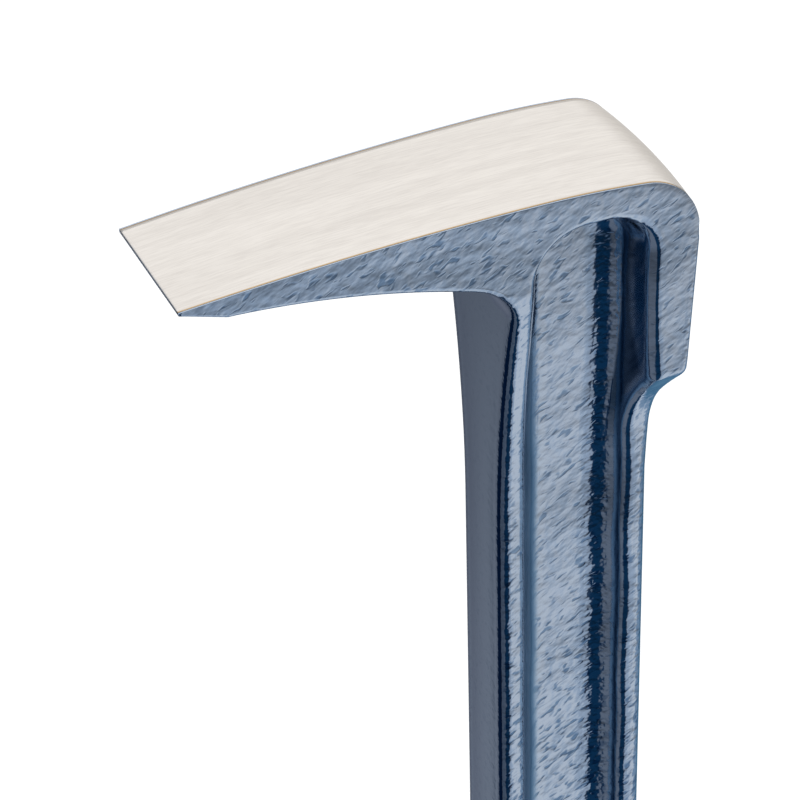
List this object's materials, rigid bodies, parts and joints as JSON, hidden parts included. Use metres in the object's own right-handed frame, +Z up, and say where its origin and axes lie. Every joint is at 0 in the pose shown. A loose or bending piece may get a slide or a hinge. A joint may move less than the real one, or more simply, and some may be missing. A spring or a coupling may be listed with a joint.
{
  "type": "pry bar",
  "caption": "Drop-forged pry bar: straight chisel head at right angles to an I-section shank, rocker heel behind it, and a slotted claw foot; painted, with ground working faces.",
  "frame": {"origin": "middle of the bar's outline in plan, on its middle plane, at the level of the claw foot's tip", "axes": "+Z up the shank towards the head; the chisel points along -X and the striking heel faces +X; Y is across the bar's width, and the bar is the same on both sides of Y = 0"},
  "size_m": [0.0876, 0.0292, 0.4573],
  "materials": {
    "ground_steel": "belt-ground bare forged steel, fine scratches along the bar",
    "hammer_paint": "glossy steel-blue hammer-finish enamel with a pebbled, dashed texture"
  },
  "bodies": {
    "root": {"forged_bar": "ground_steel", "hammer_finish_coat": "hammer_paint"}
  },
  "joints": []
}
